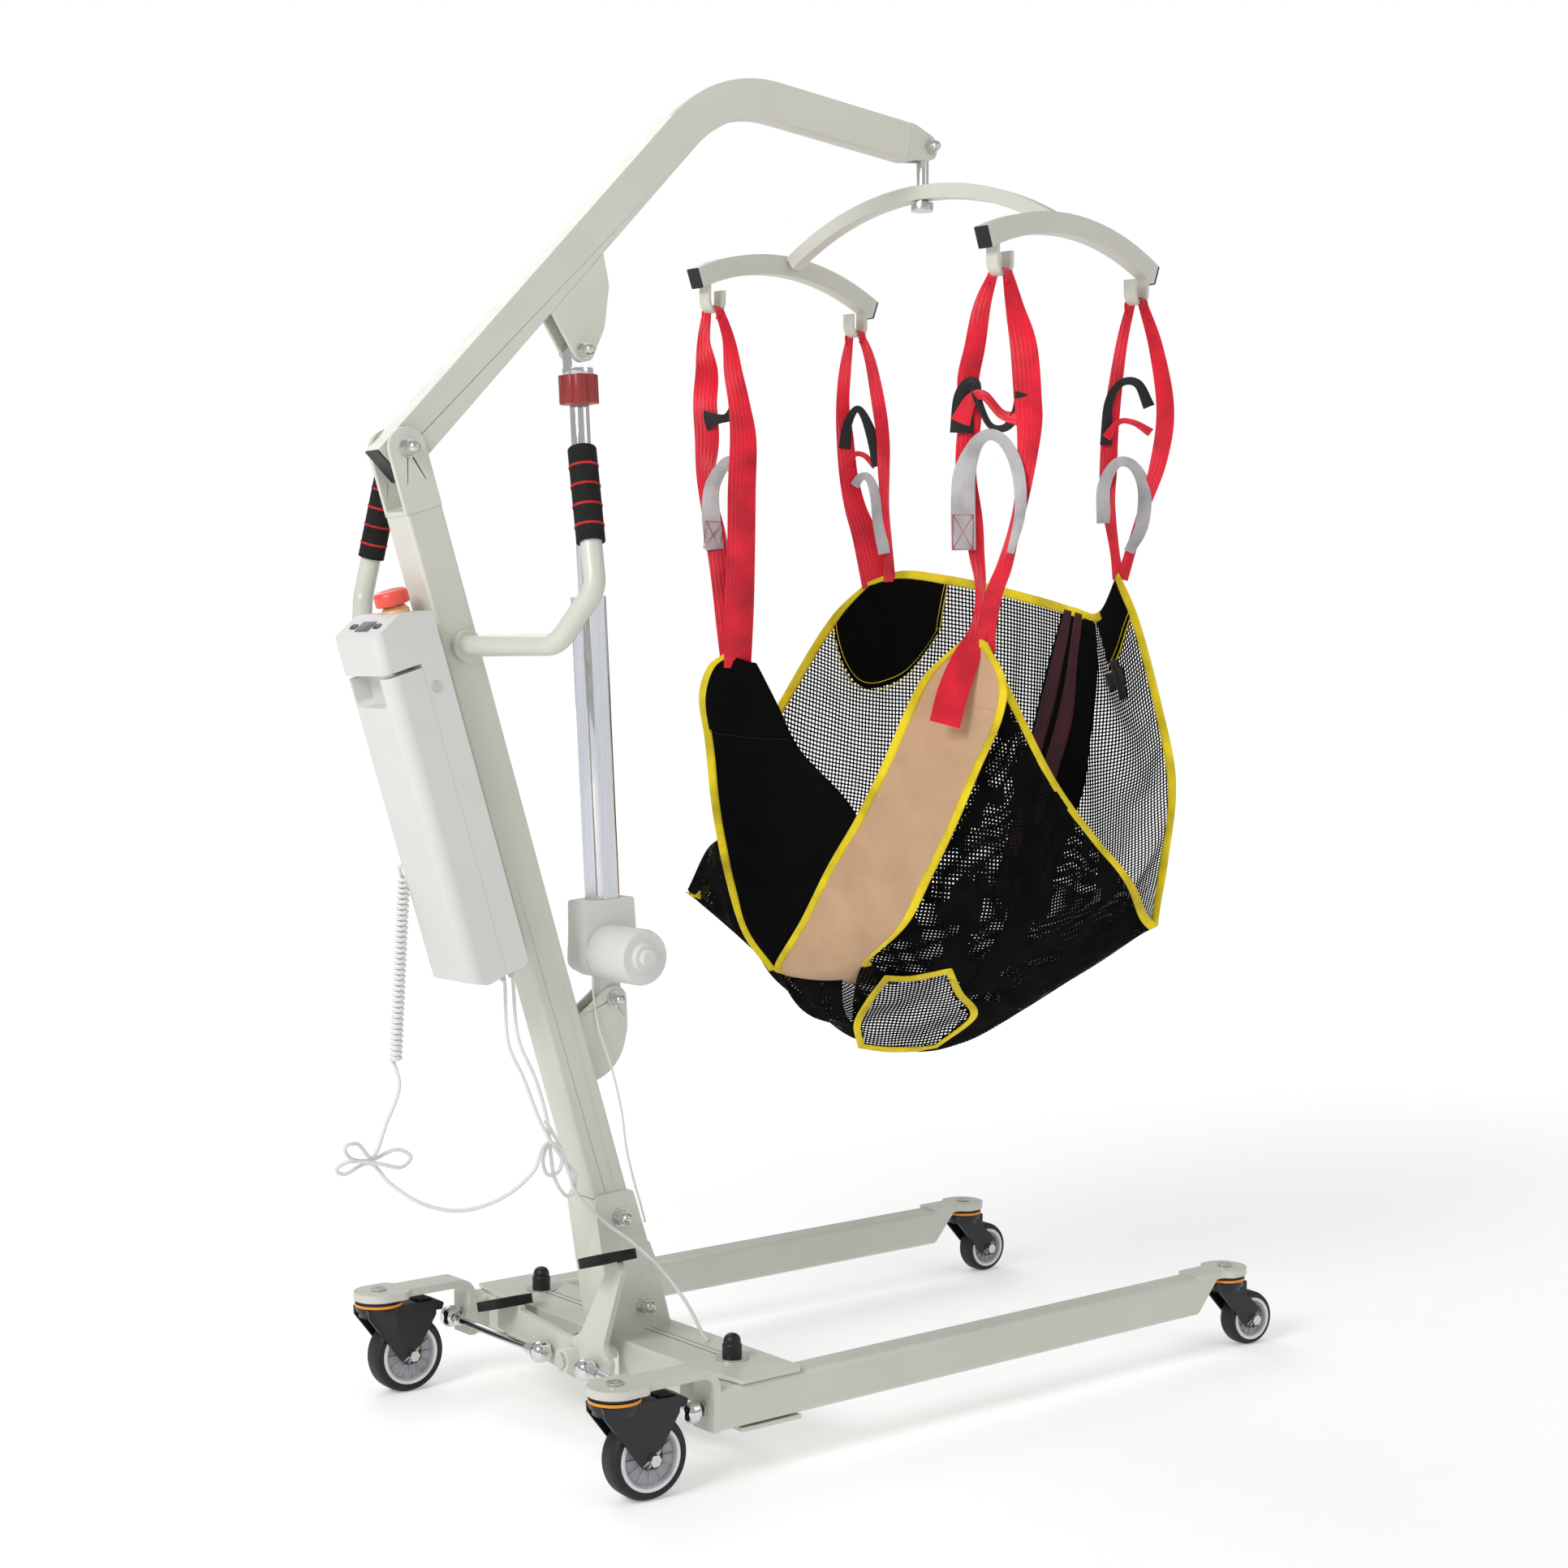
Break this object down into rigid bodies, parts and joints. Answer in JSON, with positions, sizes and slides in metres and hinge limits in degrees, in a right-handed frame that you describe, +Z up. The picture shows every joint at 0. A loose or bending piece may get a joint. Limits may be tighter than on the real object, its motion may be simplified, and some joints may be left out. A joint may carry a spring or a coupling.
{
  "type": "patient lift hoist",
  "caption": "Mobile patient lift with a leaning mast, electric lifting boom, spreader with fabric sling, opening legs on casters and a battery control box.",
  "frame": {"origin": "on the floor midway between the two leg pivots", "axes": "+X the way the base legs point, +Y to the lift's left, +Z up"},
  "size_m": [1.3089, 0.672, 1.7163],
  "materials": {
    "white_paint": "white powder coat",
    "light_steel": "zinc plated",
    "chrome": "polished",
    "raw_aluminium": "satin extrusion",
    "black_plastic": "fine texture",
    "box_plastic": "light grey moulded",
    "pack_plastic": "light moulded",
    "gear_plastic": "light moulded",
    "red_plastic": "moulded",
    "yellow_plastic": "moulded",
    "key_plastic": "soft touch",
    "window": "display window",
    "board": "circuit board",
    "cord_rubber": "light cable jacket",
    "fork_black": "black moulded",
    "foam": "foam sleeve",
    "pad_rubber": "ribbed tread",
    "tyre_black": "black tread",
    "hub_grey": "nylon wheel centre",
    "mesh_fabric": "polyester mesh, bound edges",
    "webbing": "woven straps"
  },
  "bodies": {
    "chassis": {"base_plate": "white_paint", "mast_foot_bracket": "white_paint", "mast_tube": "white_paint", "mast_head_clevis": "white_paint", "actuator_mast_bracket": "white_paint", "frame_bolts": "light_steel", "leg_pivot_caps": "black_plastic", "push_handles": "white_paint", "handle_grips": "foam", "control_box_housing": "box_plastic", "control_board": "board", "display_window": "window", "estop_collar": "yellow_plastic", "coiled_cord": "cord_rubber", "power_cables": "cord_rubber", "pedal_axle": "light_steel"},
    "estop_plunger": {"estop_stem": "light_steel"},
    "estop_button": {"estop_head": "red_plastic"},
    "up_key": {"up_button": "key_plastic"},
    "down_key": {"down_button": "key_plastic"},
    "battery": {"battery_pack": "pack_plastic"},
    "latch": {"battery_latch": "black_plastic"},
    "leg_left": {"leg_left": "white_paint", "rear_caster_bracket_left": "white_paint"},
    "leg_right": {"leg_right": "white_paint", "rear_caster_bracket_right": "white_paint"},
    "pedal": {"pedal_lever": "white_paint", "pedal_pads": "pad_rubber"},
    "tie_left": {"tie_rod_left": "chrome"},
    "tie_right": {"tie_rod_right": "chrome"},
    "boom": {"boom_tube": "white_paint", "boom_nose_clevis": "white_paint", "boom_lift_bracket": "white_paint", "boom_tail_plug": "black_plastic", "boom_bolts": "light_steel"},
    "actuator": {"actuator_gear_housing": "gear_plastic", "actuator_motor_can": "gear_plastic", "actuator_tube": "raw_aluminium"},
    "rod": {"actuator_rod": "chrome"},
    "knob": {"emergency_lowering_knob": "red_plastic"},
    "hanger": {"hanger_stud": "light_steel"},
    "spreader": {"spreader_frame": "white_paint", "spreader_hooks": "white_paint", "spreader_end_caps": "black_plastic", "sling_body": "mesh_fabric", "sling_straps": "webbing"},
    "fork_front_left": {"caster_fork_front_left": "fork_black"},
    "wheel_front_left": {"caster_tyre_front_left": "tyre_black", "caster_hub_front_left": "hub_grey"},
    "fork_front_right": {"caster_fork_front_right": "fork_black"},
    "wheel_front_right": {"caster_tyre_front_right": "tyre_black", "caster_hub_front_right": "hub_grey"},
    "fork_rear_left": {"caster_fork_rear_left": "fork_black"},
    "wheel_rear_left": {"caster_tyre_rear_left": "tyre_black", "caster_hub_rear_left": "hub_grey"},
    "fork_rear_right": {"caster_fork_rear_right": "fork_black"},
    "wheel_rear_right": {"caster_tyre_rear_right": "tyre_black", "caster_hub_rear_right": "hub_grey"},
    "brake_left": {"brake_pedal_rear_left": "black_plastic"},
    "brake_right": {"brake_pedal_rear_right": "black_plastic"}
  },
  "joints": [
    {"name": "boom_lift", "type": "hinge", "parent": "chassis", "child": "boom", "pos_m": [-0.33859, 0, 1.20642], "axis": [0, 1, 0], "range_deg": [0, 47], "deforming": ["sling_body", "sling_straps"]},
    {"name": "actuator_tilt", "type": "hinge", "parent": "chassis", "child": "actuator", "pos_m": [-0.039, 0, 0.537], "axis": [0, 1, 0], "range_deg": [0, 0.55]},
    {"name": "rod_extend", "type": "slide", "parent": "actuator", "child": "rod", "axis": [-0.057, 0, 0.9984], "range_m": [-0.2294, 0]},
    {"name": "knob_turn", "type": "hinge", "parent": "rod", "child": "knob", "pos_m": [-0.039, 0, 0.537], "axis": [-0.057, 0, 0.9984], "continuous": true},
    {"name": "hanger_plumb", "type": "hinge", "parent": "boom", "child": "hanger", "pos_m": [0.4887, 0, 1.6693], "axis": [0, 1, 0], "range_deg": [-47.1, 0]},
    {"name": "spreader_swivel", "type": "hinge", "parent": "hanger", "child": "spreader", "pos_m": [0.4887, 0, 1.6693], "axis": [0, 0, 1], "continuous": true},
    {"name": "pedal_rock", "type": "hinge", "parent": "chassis", "child": "pedal", "pos_m": [-0.086, 0, 0.086], "axis": [1, 0, 0], "range_deg": [0, 41]},
    {"name": "leg_left_swing", "type": "hinge", "parent": "chassis", "child": "leg_left", "pos_m": [0, 0.209, 0.086], "axis": [0, 0, 1], "range_deg": [0, 7.7]},
    {"name": "leg_right_swing", "type": "hinge", "parent": "chassis", "child": "leg_right", "pos_m": [0, -0.209, 0.086], "axis": [0, 0, 1], "range_deg": [-7.7, 0]},
    {"name": "tie_left_swing", "type": "hinge", "parent": "pedal", "child": "tie_left", "pos_m": [-0.106, 0.05, 0.086], "axis": [0.9992, 0.002, -0.041], "range_deg": [-49.75, 0]},
    {"name": "tie_right_swing", "type": "hinge", "parent": "pedal", "child": "tie_right", "pos_m": [-0.106, -0.05, 0.086], "axis": [0.9992, -0.002, 0.041], "range_deg": [-49.75, 0]},
    {"name": "caster_rear_left_swivel", "type": "hinge", "parent": "leg_left", "child": "fork_rear_left", "pos_m": [-0.215, 0.268, 0.1], "axis": [0, 0, 1], "continuous": true},
    {"name": "caster_rear_left_roll", "type": "hinge", "parent": "fork_rear_left", "child": "wheel_rear_left", "pos_m": [-0.17601, 0.26718, 0.05], "axis": [0.0209, 0.9998, 0], "continuous": true},
    {"name": "brake_left_press", "type": "hinge", "parent": "fork_rear_left", "child": "brake_left", "pos_m": [-0.16301, 0.26691, 0.106], "axis": [0.0209, 0.9998, 0], "range_deg": [0, 12]},
    {"name": "caster_rear_right_swivel", "type": "hinge", "parent": "leg_right", "child": "fork_rear_right", "pos_m": [-0.215, -0.268, 0.1], "axis": [0, 0, 1], "continuous": true},
    {"name": "caster_rear_right_roll", "type": "hinge", "parent": "fork_rear_right", "child": "wheel_rear_right", "pos_m": [-0.17615, -0.27147, 0.05], "axis": [0.0889, 0.996, 0], "continuous": true},
    {"name": "brake_right_press", "type": "hinge", "parent": "fork_rear_right", "child": "brake_right", "pos_m": [-0.16321, -0.27262, 0.106], "axis": [0.0889, 0.996, 0], "range_deg": [0, 12]},
    {"name": "caster_front_left_swivel", "type": "hinge", "parent": "leg_left", "child": "fork_front_left", "pos_m": [0.833, 0.268, 0.1], "axis": [0, 0, 1], "continuous": true},
    {"name": "caster_front_left_roll", "type": "hinge", "parent": "fork_front_left", "child": "wheel_front_left", "pos_m": [0.87394, 0.26585, 0.0375], "axis": [0.0523, 0.9986, 0], "continuous": true},
    {"name": "caster_front_right_swivel", "type": "hinge", "parent": "leg_right", "child": "fork_front_right", "pos_m": [0.833, -0.268, 0.1], "axis": [0, 0, 1], "continuous": true},
    {"name": "caster_front_right_roll", "type": "hinge", "parent": "fork_front_right", "child": "wheel_front_right", "pos_m": [0.87356, -0.27399, 0.0375], "axis": [0.1461, 0.9893, 0], "continuous": true},
    {"name": "estop_press", "type": "slide", "parent": "chassis", "child": "estop_plunger", "axis": [0.3015, 0, -0.9535], "range_m": [0, 0.003]},
    {"name": "estop_twist", "type": "hinge", "parent": "estop_plunger", "child": "estop_button", "pos_m": [-0.34028, 0, 1.01279], "axis": [-0.3015, 0, 0.9535], "range_deg": [0, 45]},
    {"name": "up_press", "type": "slide", "parent": "chassis", "child": "up_key", "axis": [0.6662, 0, -0.7457], "range_m": [0, 0.001], "stiffness_N_per_m": 2000},
    {"name": "down_press", "type": "slide", "parent": "chassis", "child": "down_key", "axis": [0.6662, 0, -0.7457], "range_m": [0, 0.001], "stiffness_N_per_m": 2000},
    {"name": "battery_slide_off", "type": "slide", "parent": "chassis", "child": "battery", "axis": [-0.9535, 0, -0.3015], "range_m": [0, 0.25]},
    {"name": "latch_press", "type": "slide", "parent": "chassis", "child": "latch", "axis": [0, 1, 0], "range_m": [0, 0.0015], "stiffness_N_per_m": 2000}
  ],
  "couplings": [
    {"joint": "actuator_tilt", "follows": "boom_lift", "ratio": 0.011488},
    {"joint": "rod_extend", "follows": "boom_lift", "m_per_rad": -0.27945},
    {"joint": "hanger_plumb", "follows": "boom_lift", "ratio": -1},
    {"joint": "leg_left_swing", "follows": "pedal_rock", "ratio": 0.18683},
    {"joint": "leg_right_swing", "follows": "pedal_rock", "ratio": -0.18683},
    {"joint": "tie_left_swing", "follows": "pedal_rock", "ratio": -1.211},
    {"joint": "tie_right_swing", "follows": "pedal_rock", "ratio": -1.211}
  ]
}
